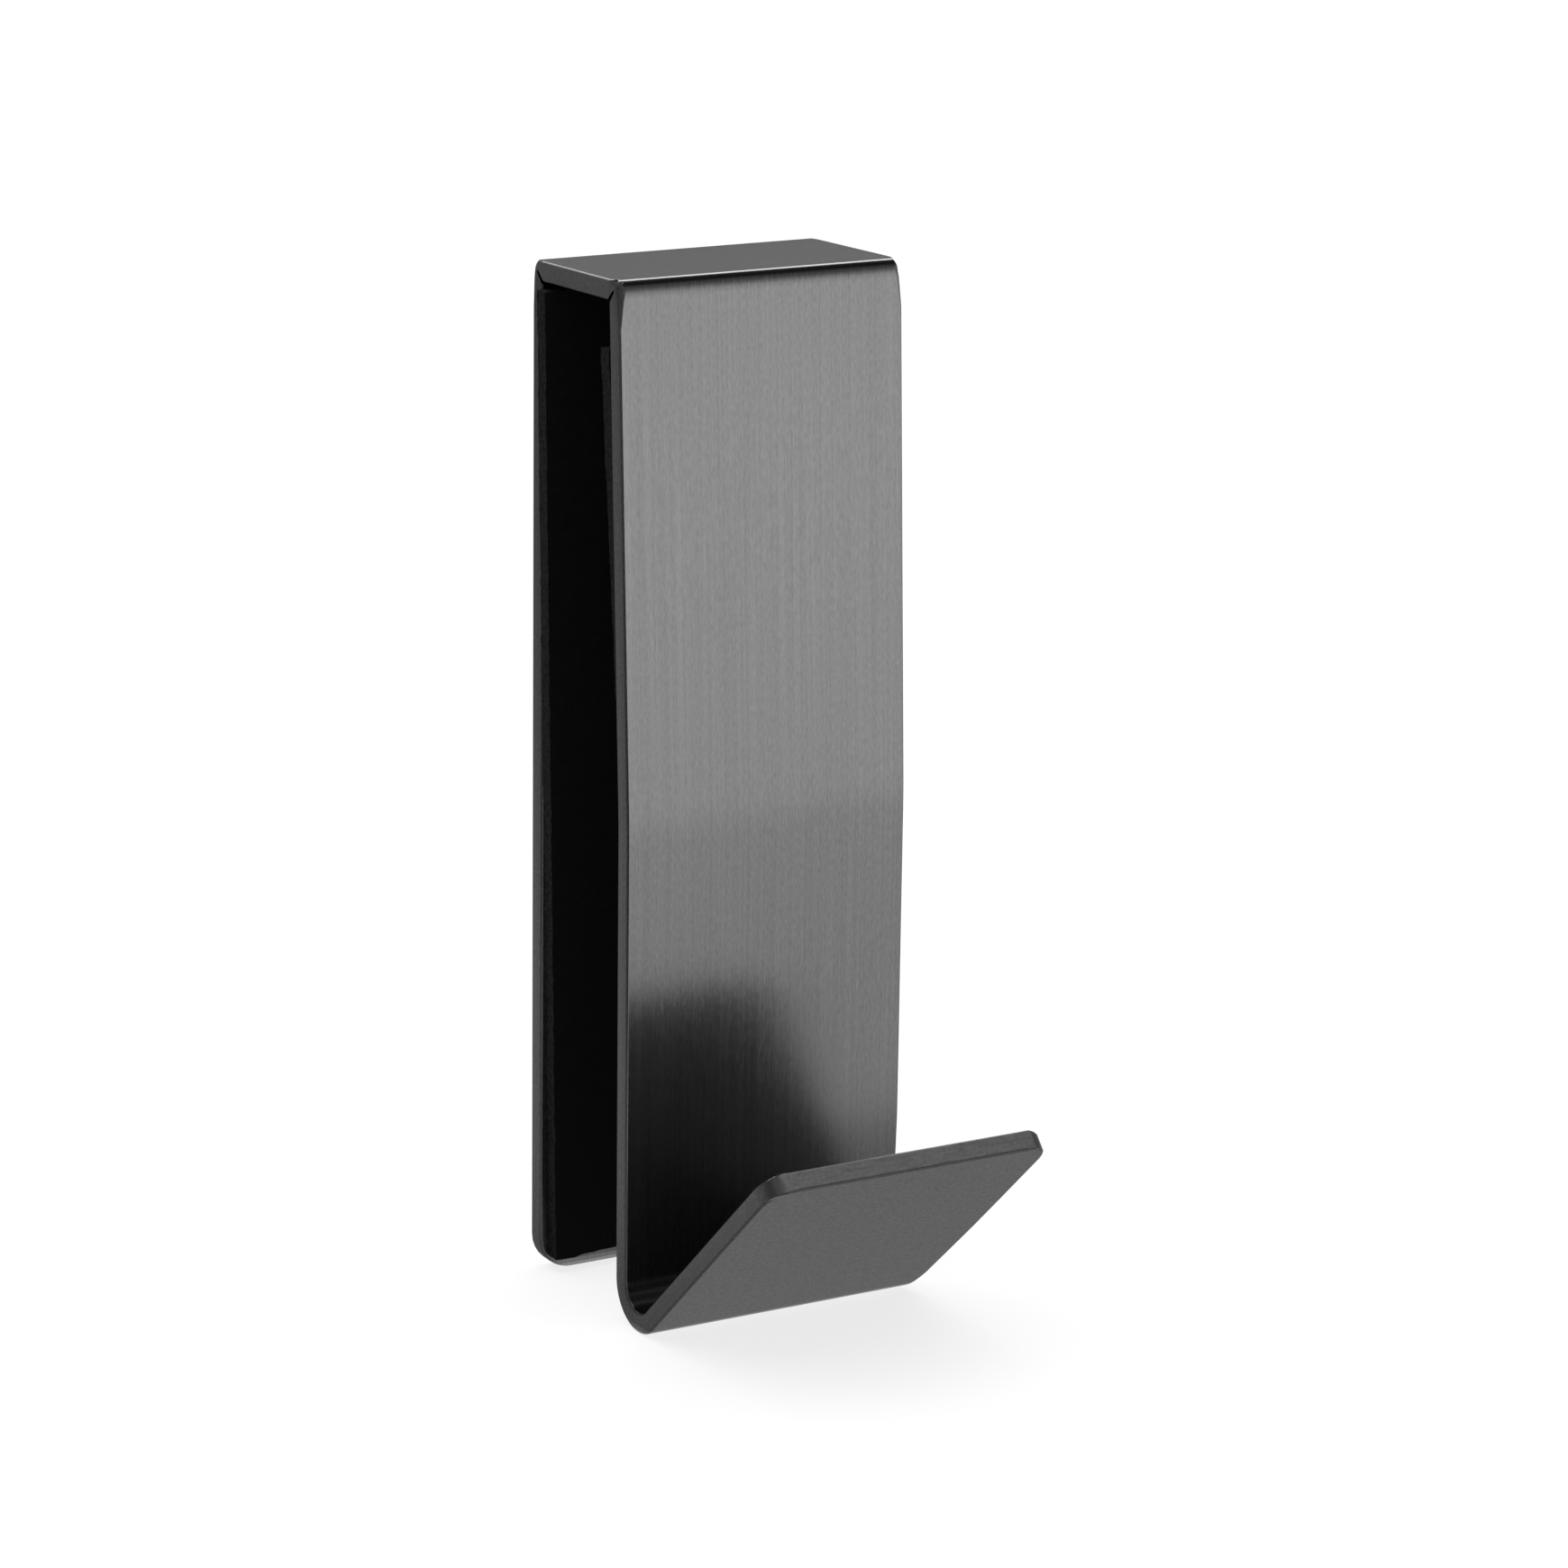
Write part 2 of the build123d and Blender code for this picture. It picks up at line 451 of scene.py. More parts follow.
def runStrip(rows):
    deselectAll()
    bpy.ops.mesh.primitive_plane_add(size=1.0)
    piece = bpy.context.object
    piece.name = piece.data.name = "foldedStrip"
    bpy.ops.object.mode_set(mode="EDIT")
    bpy.ops.mesh.select_mode(type="VERT")
    bpy.ops.mesh.select_all(action="SELECT")
    bpy.ops.transform.resize(value=(strip["width"], strip["thickness"], 1.0),
                             center_override=(0, 0, 0))
    bpy.ops.transform.translate(value=(0, strip["thickness"] / 2, 0))
    bpy.ops.mesh.bevel(offset=strip["easing"], segments=strip["cornerSteps"], affect="VERTICES",
                       profile=strip["cornerProfile"])
    leastTurn, leastEasing = 1e-5, 1e-8      # smaller changes from row to row are left out
    at, angle, depth = Vector((0.0, 0.0)), 0.0, strip["thickness"]
    half, rounding = strip["width"] / 2, strip["easing"]
    for number, (inner, outer, rowHalf, rowRounding) in enumerate(rows):
        move = (0, inner.x - at.x, inner.y - at.y)
        if number:
            bpy.ops.mesh.extrude_region_move(TRANSFORM_OT_translate={"value": move})
        else:
            bpy.ops.transform.translate(value=move)
        across = outer - inner
        rowAngle = math.degrees(math.atan2(across.y, across.x)) % 360
        pivot = (0, inner.x, inner.y)
        if abs(rowAngle - angle) > leastTurn:
            turnPicked(rowAngle - angle, "X", pivot)
        scale = across.length / depth
        bpy.ops.transform.resize(value=(rowHalf / half, scale, scale), center_override=pivot)
        if abs(rowRounding - rounding) > leastEasing:
            easeCorners(piece, inner, outer, rowHalf, rowRounding / rounding)
        at, angle, depth, half, rounding = inner, rowAngle, across.length, rowHalf, rowRounding
    bpy.ops.mesh.select_all(action="SELECT")
    bpy.ops.mesh.remove_doubles(threshold=strip["mergeGap"])
    bpy.ops.mesh.normals_make_consistent(inside=False)
    deselectAll()
    return piece


def drawInCrook(piece):
    makeActive(piece)
    bandTop = strip["crookBand"] - strip["footDrop"]
    pickVerts(piece, lambda v: v.co.x > 0 and v.co.y < 0 and v.co.z < bandTop)
    for pull, reach in strip["crookPulls"]:
        bpy.ops.transform.translate(value=(-pull, 0, 0), use_proportional_edit=True,
                                    proportional_edit_falloff="SMOOTH", proportional_size=reach)
    deselectAll()


def cutSeam(piece, outward, splay):
    # fine closed groove from the inner fold towards the outer corner
    halfFold = math.radians(45 + splay / 2)
    along = Vector((outward * math.cos(halfFold), math.sin(halfFold)))
    fold = Vector((outward * strip["channel"] / 2, 0.0))
    mitre = Vector((math.cos(halfFold), math.sin(halfFold)))
    above = [point for point in foldCurve(splay) if point.y > 0]
    reach = min(above, key=lambda point: abs(point.normalized().cross(mitre))).length
    across = Vector((-along.y, along.x)) / 2
    mouth = fold - along * strip["seamMouth"]
    root = fold + along * (reach - strip["seamWeb"])
    corners = (mouth + across * strip["seamMouth"], root + across * strip["seamRoot"],
               root - across * strip["seamRoot"], mouth - across * strip["seamMouth"])
    # cutter: a plane merged to one point, drawn round the groove and pulled across the strip
    deselectAll()
    bpy.ops.mesh.primitive_plane_add(size=strip["thickness"])
    cutter = bpy.context.object
    bpy.ops.object.mode_set(mode="EDIT")
    bpy.ops.mesh.select_mode(type="VERT")
    bpy.ops.mesh.select_all(action="SELECT")
    bpy.ops.mesh.merge(type="CENTER")
    bpy.ops.transform.translate(value=(-strip["width"], corners[0].x, corners[0].y))
    for start, end in zip(corners, corners[1:]):
        move = (0, end.x - start.x, end.y - start.y)
        bpy.ops.mesh.extrude_region_move(TRANSFORM_OT_translate={"value": move})
    bpy.ops.mesh.select_all(action="SELECT")
    bpy.ops.mesh.edge_face_add()
    through = (2 * strip["width"], 0, 0)
    bpy.ops.mesh.extrude_region_move(TRANSFORM_OT_translate={"value": through})
    bpy.ops.mesh.select_all(action="SELECT")
    bpy.ops.mesh.normals_make_consistent(inside=False)
    deselectAll()
    applyModifier(piece, "BOOLEAN", operation="DIFFERENCE", solver="EXACT", object=cutter)
    makeActive(cutter)
    bpy.ops.object.delete()


def makeStrip():
    piece = runStrip(stripRows())
    drawInCrook(piece)
    cutSeam(piece, 1, strip["backSplay"])
    cutSeam(piece, -1, strip["frontSplay"])
    makeActive(piece)
    bpy.ops.object.shade_smooth_by_angle(angle=math.radians(strip["smoothAngle"]))
    applyModifier(piece, "WEIGHTED_NORMAL", keep_sharp=True, weight=strip["normalWeight"])
    return piece


gunmetal = {
    "tone": 0.266,
    "toneSwing": 0.18,
    "roughness": 0.24,
    "roughnessSwing": 0.025,
    "anisotropy": 0.5,
    "tangent": (1.0, 0.002, 0.004),      # brushed along, so reflections spread across
    "bump": 0.016,
    "bumpDepth": 0.0001,
    "noiseSpan": (0.3, 0.7),  # most of a noise's values lie in here
    "detail": 2.0,
    "fineStreaks": (6600.0, 1500.0),     # per metre across the strip and along it
    "fineShare": 0.62,
    "longStreaks": (3200.0, 20.0),
    "longShare": 0.38,
    "rimStreaks": (500.0, 4200.0),
    "rimShare": 0.5,
    "tooth": 3200.0,          # grains per metre
    "toothShare": 0.5,
    "rimSwing": 0.28,
    "mottleSwing": 0.26,
    "topCalm": 0.95,          # how much of the brushing is lost on the bridge's top
    "sideTone": 0.16,
    "tipTone": 0.22,
    "backRimPaintedShade": 0.62,      # painted shade: the back leg's cut side is painted darker up to its fold
    "backRimClimb": (-0.065, 0.0),
    "rimRoughness": 0.5,
    "sideMetallic": 0.7,
    "tipMetallic": 0.4,
    "edgePaintedShade": 0.42,        # painted shade: how much darker the slanted, dressed edges are painted
    # painted shade: how much darker the flap tip's outer eased edge is painted
    "tipEdgePaintedShade": 0.6,
    "channelPaintedShade": 0.92,      # painted shade: how much darker the channel and its folds are painted
    # parts of the strip, by how far a face is turned their way
    "sideTurn": (0.6, 0.9),
    "tipTurn": (0.7, 0.92),
    "footTurn": (-0.7, -0.92),
    "underTurn": (-0.25, -0.65),
    "topTurn": (0.6, 0.92),
    "slantTurn": (0.25, 0.5),
    "slantEnd": (0.8, 0.93),
    "tipEdgeTurn": (-0.8, -0.92),
    # and by their place, in Y or Z
    "tipPast": -0.032,
    "tipEdgePast": -0.0335,
    "footPast": 0.008,
    "backLegPast": 0.006,
    "channelHalf": 0.0079,
    "channelTop": 0.0014,
}


def streakNode(tree, spacing, place):
    return useGroup(tree, brushStreaks, place, Across_strip=spacing[0], Along_strip=spacing[1],
                    Detail=gunmetal["detail"])


def blendNode(tree, first, firstShare, second, secondShare, place):
    before = place[0] - 200
    return mathNode(tree, "ADD", place,
                    mathNode(tree, "MULTIPLY", (before, place[1] + 50), first, firstShare),
                    mathNode(tree, "MULTIPLY", (before, place[1] - 150), second, secondShare))


def makeGunmetal():
    material, tree, shader = freshMaterial("brushedGunmetal")
    link = tree.links.new
    span = gunmetal["noiseSpan"]

    def swingNode(noise, swing, place):
        # a factor that swings about one with the noise
        return rangeNode(tree, noise, *span, 1.0 - swing, 1.0 + swing, place)

    fine = streakNode(tree, gunmetal["fineStreaks"], (-900, 500))
    long = streakNode(tree, gunmetal["longStreaks"], (-900, 300))
    grain = blendNode(tree, fine, gunmetal["fineShare"], long, gunmetal["longShare"], (-500, 450))
    coords = newNode(tree, "ShaderNodeTexCoord", (-1500, -200))
    facing = newNode(tree, "ShaderNodeSeparateXYZ", (-1300, -200))
    link(coords.outputs["Normal"], facing.inputs[0])
    spot = newNode(tree, "ShaderNodeSeparateXYZ", (-1300, -500))
    link(coords.outputs["Object"], spot.inputs[0])
    spotY, spotZ = spot.outputs["Y"], spot.outputs["Z"]

    # cut rim: the strip's sides, the flap's tip and the foot of the back leg
    sideways = mathNode(tree, "ABSOLUTE", (-1100, -200), facing.outputs["X"])
    side = maskNode(tree, sideways, gunmetal["sideTurn"], (-900, -200))
    tipWay = newNode(tree, "ShaderNodeVectorMath", (-1100, -350), operation="DOT_PRODUCT")
    link(coords.outputs["Normal"], tipWay.inputs[0])
    tipWay.inputs[1].default_value = (0.0,) + tuple(way(strip["flapAngle"] + 90))
    tipEnd = mathNode(tree, "MULTIPLY", (-700, -350),
                      maskNode(tree, tipWay.outputs["Value"], gunmetal["tipTurn"], (-900, -350)),
                      mathNode(tree, "LESS_THAN", (-900, -450), spotY, gunmetal["tipPast"]))
    footEnd = mathNode(tree, "MULTIPLY", (-700, -550),
                       maskNode(tree, facing.outputs["Z"], gunmetal["footTurn"], (-900, -550)),
                       mathNode(tree, "GREATER_THAN", (-900, -650), spotY, gunmetal["footPast"]))
    ends = mathNode(tree, "MAXIMUM", (-500, -450), tipEnd, footEnd)
    rim = mathNode(tree, "MAXIMUM", (-300, -300), side, ends)

    tooth = useGroup(tree, fineSpeckle, (-900, 0), Grains_per_metre=gunmetal["tooth"],
                     Detail=gunmetal["detail"])
    rimBrush = streakNode(tree, gunmetal["rimStreaks"], (-900, 150))
    rimGrain = blendNode(tree, tooth, gunmetal["toothShare"], rimBrush, gunmetal["rimShare"],
                         (-500, 100))
    rimBase = rangeNode(tree, ends, 0.0, 1.0, gunmetal["sideTone"], gunmetal["tipTone"],
                        (-300, -50))
    rimTone = mathNode(tree, "MULTIPLY", (-200, 50), rimBase,
                       swingNode(rimGrain, gunmetal["rimSwing"], (-300, 100)))

    # painted shade on the back leg's rim, darker up to the mitre of its fold
    outBack = mathNode(tree, "SUBTRACT", (-900, -700), spotY, spotZ)
    pastMitre = mathNode(tree, "GREATER_THAN", (-700, -700), outBack, strip["channel"] / 2)
    pastSeat = mathNode(tree, "GREATER_THAN", (-700, -800), spotY, gunmetal["backLegPast"])
    onBackLeg = mathNode(tree, "MULTIPLY", (-500, -700), pastSeat, pastMitre)
    paintedRimShade = rangeNode(tree, spotZ, *gunmetal["backRimClimb"], 1.0, gunmetal["backRimPaintedShade"],
                      (-500, -800))
    rimTone = mathNode(tree, "MULTIPLY", (-100, 50), rimTone,
                       mixNode(tree, onBackLeg, 1.0, paintedRimShade, (-300, -700)))

    # brushed faces; the flap's outer face is worn to a fine mottle, the bridge's top nearly plain
    level = swingNode(grain, gunmetal["toneSwing"], (-300, 450))
    mottle = swingNode(tooth, gunmetal["mottleSwing"], (-300, 600))
    under = maskNode(tree, facing.outputs["Z"], gunmetal["underTurn"], (-500, 650))
    onTop = rangeNode(tree, facing.outputs["Z"], *gunmetal["topTurn"], 0.0, gunmetal["topCalm"],
                      (-500, 800), smooth=True)
    calm = mixNode(tree, onTop, mixNode(tree, under, level, mottle, (-150, 550)), 1.0, (0, 600))
    plain = mathNode(tree, "MULTIPLY", (100, 450), calm, gunmetal["tone"])

    # painted shade: darker on the slanted dressed edges, along the flap tip's outer edge, inside
    # the channel and in its folds
    slanted = mathNode(tree, "MULTIPLY", (-700, -900),
                       maskNode(tree, sideways, gunmetal["slantTurn"], (-900, -900)),
                       rangeNode(tree, sideways, *gunmetal["slantEnd"], 1.0, 0.0, (-900, -1000),
                                 smooth=True))
    edge = mathNode(tree, "MULTIPLY", (-500, -850), slanted, gunmetal["edgePaintedShade"])
    # painted shade along the flap tip's outer eased edge
    paintedTipShade = mathNode(tree, "MULTIPLY", (-700, -1100),
                       rangeNode(tree, facing.outputs["Y"], *gunmetal["tipEdgeTurn"], 0.0,
                                 gunmetal["tipEdgePaintedShade"], (-900, -1100)),
                       mathNode(tree, "LESS_THAN", (-900, -1200), spotY, gunmetal["tipEdgePast"]))
    # painted shade inside the channel and its folds, but not on the cut sides
    fromMiddle = mathNode(tree, "ABSOLUTE", (-1100, -1300), spotY)
    between = mathNode(tree, "LESS_THAN", (-900, -1300), fromMiddle, gunmetal["channelHalf"])
    within = mathNode(tree, "MULTIPLY", (-700, -1350), between,
                      mathNode(tree, "LESS_THAN", (-900, -1450), spotZ, gunmetal["channelTop"]))
    inside = mathNode(tree, "MULTIPLY", (-500, -1350), within,
                      rangeNode(tree, side, 0.0, 1.0, gunmetal["channelPaintedShade"], 0.0, (-700, -1500)))
    edges = mathNode(tree, "MAXIMUM", (-400, -1000), edge, paintedTipShade)
    shade = mathNode(tree, "MAXIMUM", (-300, -1100), edges, inside)
    toned = mathNode(tree, "MULTIPLY", (300, 300), mixNode(tree, rim, plain, rimTone, (150, 300)),
                     mathNode(tree, "SUBTRACT", (-100, -1100), 1.0, shade))
    link(toned, shader.inputs["Base Color"])

    surface = mixNode(tree, onTop, mixNode(tree, under, grain, tooth, (-450, 250)), sum(span) / 2,
                      (-380, 250))
    rough = rangeNode(tree, surface, *span, gunmetal["roughness"] - gunmetal["roughnessSwing"],
                      gunmetal["roughness"] + gunmetal["roughnessSwing"], (-300, 250))
    allRough = mixNode(tree, rim, rough, gunmetal["rimRoughness"], (150, 100))
    link(allRough, shader.inputs["Roughness"])
    sideMetal = rangeNode(tree, side, 0.0, 1.0, 1.0, gunmetal["sideMetallic"], (150, -100))
    endMetal = rangeNode(tree, ends, 0.0, 1.0, 1.0, gunmetal["tipMetallic"], (150, -250))
    link(mathNode(tree, "MINIMUM", (350, -150), sideMetal, endMetal), shader.inputs["Metallic"])

    spread = newNode(tree, "ShaderNodeCombineXYZ", (150, -420))
    for axis, share in zip("XYZ", gunmetal["tangent"]):
        spread.inputs[axis].default_value = share
    link(spread.outputs[0], shader.inputs["Tangent"])
    shader.inputs["Anisotropic"].default_value = gunmetal["anisotropy"]

    bump = newNode(tree, "ShaderNodeBump", (350, -600))
    bump.inputs["Strength"].default_value = gunmetal["bump"]
    bump.inputs["Distance"].default_value = gunmetal["bumpDepth"]
    link(mixNode(tree, rim, surface, rimGrain, (150, -600)), bump.inputs["Height"])
    link(bump.outputs["Normal"], shader.inputs["Normal"])
    return material


foldedStrip = makeStrip()
foldedStrip.data.materials.append(makeGunmetal())
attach(foldedStrip, "root")
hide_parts(strip["node"])
print("folded strip made,", len(foldedStrip.data.polygons), "faces",
      inMillimetres(meshBox(foldedStrip)), inMillimetres(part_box(strip["node"])))


# soft pads, cut by hand from sheet and stuck inside the channel
padCut = {
    "width": 0.0285,
    "thickness": 0.0016,
    "cell": 0.0007,           # spacing of the mesh
    "ragged": 0.00010,        # how far the cut wanders
    "rimRows": 2,
    "rimTooth": 0.00007,
    "acrossShare": 0.9,       # an edge this straight across the thickness is on the cut
    "smoothAngle": 30.0,
}
rearPad = {
    "node": "rear_pad",
    "top": -0.0004,           # the foam reaches up to the fold
    "length": 0.0959,
    "footCut": 2.2,           # its lower end is cut this far off square
    "skew": 0.9,
    "shift": -0.00055,
    "face": strip["channel"] / 2,        # Y of the leg's inner face at the bridge
    "splay": strip["backSplay"],
    "side": -1.0,             # the way it stands off the leg, along Y
    "bends": (),
    "seed": 3,
}
frontPad = {
    "node": "front_pad",
    "top": -0.0040,
    "length": 0.0857,
    "footCut": 0.0,
    "skew": 1.6,
    "shift": 0.00040,
    "face": -strip["channel"] / 2,
    "splay": -strip["frontSplay"],
    "side": 1.0,
    "bends": (-0.0476, -0.0490, -0.0504),   # follows the leg's set in these steps
    "seed": 7,
}


def toothRim(piece, pad):
    # rows of points across the cut edge, knocked out of line like torn foam
    bpy.ops.object.mode_set(mode="EDIT")
    bpy.ops.mesh.select_mode(type="EDGE")
    bpy.ops.mesh.select_all(action="DESELECT")
    bpy.ops.object.mode_set(mode="OBJECT")
    points = piece.data.vertices
    before = len(points)
    for edge in piece.data.edges:
        run = points[edge.vertices[1]].co - points[edge.vertices[0]].co
        edge.select = abs(run.y) > padCut["acrossShare"] * run.length
    bpy.ops.object.mode_set(mode="EDIT")
    bpy.ops.mesh.subdivide(number_cuts=padCut["rimRows"])
    pickVerts(piece, lambda v: v.index >= before)
    bpy.ops.transform.vertex_random(offset=padCut["rimTooth"], uniform=0.0, normal=0.0,
                                    seed=pad["seed"] + 1)
    deselectAll()


def cutPad(name, pad):
    deselectAll()
    across = round(padCut["width"] / padCut["cell"])
    along = round(pad["length"] / padCut["cell"])
    bpy.ops.mesh.primitive_grid_add(x_subdivisions=across, y_subdivisions=along, size=1.0)
    piece = bpy.context.object
    piece.name = piece.data.name = name
    bpy.ops.object.mode_set(mode="EDIT")
    bpy.ops.mesh.select_all(action="SELECT")
    bpy.ops.transform.resize(value=(padCut["width"], pad["length"], 1.0),
                             center_override=(0, 0, 0))
    turnPicked(90.0, "X", (0, 0, 0))
    # lower end, cut from its left corner
    halfWidth, halfLength = padCut["width"] / 2, pad["length"] / 2
    footCorner = Vector((-halfWidth, 0.0, -halfLength))
    slope = math.radians(pad["footCut"])
    footWay = Vector((math.sin(slope), 0.0, -math.cos(slope)))
    if pad["footCut"]:
        bpy.ops.mesh.bisect(plane_co=footCorner, plane_no=footWay, clear_outer=True)
        bpy.ops.mesh.select_all(action="SELECT")
        bpy.ops.mesh.remove_doubles(threshold=padCut["cell"] / 8)
    bpy.ops.object.mode_set(mode="OBJECT")
    # rim knocked out of line, then the whole pad laid flat on its leg
    near = padCut["cell"] / 3
    pickVerts(piece, lambda v: abs(v.co.x) > halfWidth - near or v.co.z > halfLength - near
              or (v.co - footCorner).dot(footWay) > -near / 9)
    bpy.ops.transform.vertex_random(offset=padCut["ragged"], uniform=0.0, normal=0.0,
                                    seed=pad["seed"])
    bpy.ops.mesh.select_all(action="SELECT")
    turnPicked(-pad["skew"], "Y", (0, 0, 0))
    bpy.ops.transform.resize(value=(1, 0, 1), center_override=(0, 0, 0))
    bpy.ops.transform.translate(value=(pad["shift"], pad["face"], pad["top"] - halfLength))
    turnPicked(pad["splay"], "X", (0, pad["face"], 0))
    for height in pad["bends"]:
        pickVerts(piece, lambda v: v.co.z < height)
        legY = min((v.co for v in piece.data.vertices), key=lambda co: abs(co.z - height)).y
        turnPicked(strip["setAngle"] / len(pad["bends"]), "X", (0, legY, height))
    deselectAll()
    applyModifier(piece, "SOLIDIFY", thickness=padCut["thickness"], offset=-pad["side"],
                  use_even_offset=True)
    toothRim(piece, pad)
    makeActive(piece)
    bpy.ops.object.shade_smooth_by_angle(angle=math.radians(padCut["smoothAngle"]))
    return piece


lining = {
    "cells": 3300.0,          # grains per metre, on the cut
    "cellDetail": 3.0,
    "cellSpan": (0.35, 0.75),
    "skin": 900.0,            # and on the faces
    "skinDetail": 4.0,
    "skinSpan": (0.3, 0.7),
    "cutTone": (0.003, 0.034),
    "faceTone": (0.004, 0.010),
    "roughness": (0.78, 0.95),
    "specular": 0.2,
    "bump": 0.5,
    "bumpDepth": 0.0002,
    "cutTurn": (0.35, 0.8),   # share of the normal in Y, from cut to face
}


def makeLining():
    material, tree, shader = freshMaterial("blackFoamLining")
    link = tree.links.new
    coords = newNode(tree, "ShaderNodeTexCoord", (-1100, -200))
    normal = newNode(tree, "ShaderNodeSeparateXYZ", (-900, -200))
    link(coords.outputs["Normal"], normal.inputs[0])
    facing = mathNode(tree, "ABSOLUTE", (-700, -200), normal.outputs["Y"])
    cut = rangeNode(tree, facing, *lining["cutTurn"], 1.0, 0.0, (-500, -200), smooth=True)
    cells = useGroup(tree, fineSpeckle, (-900, 200), Grains_per_metre=lining["cells"],
                     Detail=lining["cellDetail"])
    skin = useGroup(tree, fineSpeckle, (-900, 0), Grains_per_metre=lining["skin"],
                    Detail=lining["skinDetail"])
    faceTone = rangeNode(tree, skin, *lining["skinSpan"], *lining["faceTone"], (-500, 0))
    cutTone = rangeNode(tree, cells, *lining["cellSpan"], *lining["cutTone"], (-500, 200))
    link(mixNode(tree, cut, faceTone, cutTone, (-200, 100)), shader.inputs["Base Color"])
    rough = rangeNode(tree, skin, *lining["skinSpan"], *lining["roughness"], (-200, -100))
    link(rough, shader.inputs["Roughness"])
    shader.inputs["Specular IOR Level"].default_value = lining["specular"]
    bump = newNode(tree, "ShaderNodeBump", (300, -400))
    bump.inputs["Strength"].default_value = lining["bump"]
    bump.inputs["Distance"].default_value = lining["bumpDepth"]
    link(cells, bump.inputs["Height"])
    link(bump.outputs["Normal"], shader.inputs["Normal"])
    return material


liningMaterial = makeLining()
for padName, pad in (("rearLiningPad", rearPad), ("frontLiningPad", frontPad)):
    piece = cutPad(padName, pad)
    piece.data.materials.append(liningMaterial)
    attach(piece, "root")
    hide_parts(pad["node"])
    print(padName, "made", inMillimetres(meshBox(piece)), inMillimetres(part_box(pad["node"])))


# studio: pale floor, cards that only the metal mirrors, a dim world and one softbox
studio = {
    "floorSize": 12.0,
    "floorTone": 0.30,
    "floorGlow": 0.79,
    "overhead": 0.02,
    "backWall": 0.17,
    "frontFill": 0.30,        # low in front, to the left
    "frontSky": 0.09,         # fading upwards all along the front
    "horizon": 0.95,          # white seen low in front, to the right
    "zenith": 0.8,
    "leftHigh": 0.3,
}
cards = {                     # middle, aim, width and height, brightness
    # painted shadow: a grey card under the hook stands for the floor's shade there, as the metal
    # mirrors it
    "underShadowCard": ((0.035, 0.0125, 0.0008), None, (0.13, 0.115), 0.31),
    "backCard": ((0.835, 1.2275, 0.0004), None, (1.73, 2.545), 0.50),
    "leftCard": ((-0.865, 1.2275, 0.0004), None, (1.67, 2.545), 0.30),
    "leftNearCard": ((-0.10, 0.08, 0.0008), None, (0.16, 0.16), 0.60),
    "rightCard": ((0.14, -0.195, 0.0004), None, (0.40, 0.30), 0.93),
    # painted shadow: a grey card in front of the hook stands for the floor darkening near it, as
    # the metal mirrors it
    "nearShadowCard": ((0.0665, -0.105, 0.0008), None, (0.187, 0.12), 0.69),
    "frontCard": ((-0.53, -0.5225, 0.0004), None, (0.94, 0.955), 0.10),
    "backPanel": ((0.309, 0.764, 0.767), (0.0, 0.0, 0.1), (1.10, 0.52), 2.9),
}
worldSpans = {                # where each patch of the world sets in, along X, Y or Z
    "behind": (-0.2, 0.6),
    "low": (0.75, 0.3),
    "ahead": (-0.1, -0.5),
    "rightHand": (-0.15, 0.6),
    "nearFloor": (0.22, 0.05),
    "leftHand": (-0.1, -0.4),
    "lifted": (0.12, 0.3),
    "overTop": (0.945, 0.985),
    "farLeft": (-0.3, -0.55),
    "high": (0.45, 0.65),
}
softbox = {
    "place": (0.0, 0.8, 3.0),
    "aim": (0.0, 0.8, 0.0),
    "size": 6.0,
    "watts": 160.0,
}
floorHeight = cadLow.z


def eitherRay(tree, place):
    # rays from the camera, and those that metal or glass sends on
    path = newNode(tree, "ShaderNodeLightPath", place)
    both = mathNode(tree, "MAXIMUM", (place[0] + 200, place[1]), path.outputs["Is Camera Ray"],
                    path.outputs["Is Glossy Ray"])
    return mathNode(tree, "MAXIMUM", (place[0] + 400, place[1]), both,
                    path.outputs["Is Transmission Ray"])


def layFloor():
    deselectAll()
    bpy.ops.mesh.primitive_plane_add(size=studio["floorSize"], location=(0, 0, floorHeight))
    floor = bpy.context.object
    floor.name = "paleFloor"
    bpy.ops.object.transform_apply(location=True, rotation=True, scale=True)
    material, tree, shader = freshMaterial("paleFloor")
    shader.inputs["Base Color"].default_value = (studio["floorTone"],) * 3 + (1.0,)
    shader.inputs["Roughness"].default_value = 1.0
    shader.inputs["Specular IOR Level"].default_value = 0.0
    shader.inputs["Emission Color"].default_value = (1.0, 1.0, 1.0, 1.0)
    seen = eitherRay(tree, (-600, -300))
    glow = mathNode(tree, "MULTIPLY", (100, -300), seen, studio["floorGlow"])
    tree.links.new(glow, shader.inputs["Emission Strength"])
    floor.data.materials.append(material)


def hangCard(name, middle, aim, size, level):
    # a card for the metal to mirror, lying on the floor or turned to face its aim
    deselectAll()
    bpy.ops.mesh.primitive_plane_add(size=1.0)
    card = bpy.context.object
    card.name = name
    card.scale = (size[0], size[1], 1.0)
    if aim:
        card.rotation_euler = (Vector(aim) - Vector(middle)).to_track_quat("Z", "Y").to_euler()
    card.location = Vector(middle) + Vector((0, 0, floorHeight))
    bpy.ops.object.transform_apply(location=True, rotation=True, scale=True)
    material, tree, out = emptyMaterial(name)
    shine = newNode(tree, "ShaderNodeEmission", (600, 0))
    shine.inputs["Color"].default_value = (1.0, 1.0, 1.0, 1.0)
    shine.inputs["Strength"].default_value = level
    tree.links.new(shine.outputs[0], out.inputs["Surface"])
    card.data.materials.append(material)
    card.visible_camera = False
    card.visible_diffuse = False
    card.visible_shadow = False


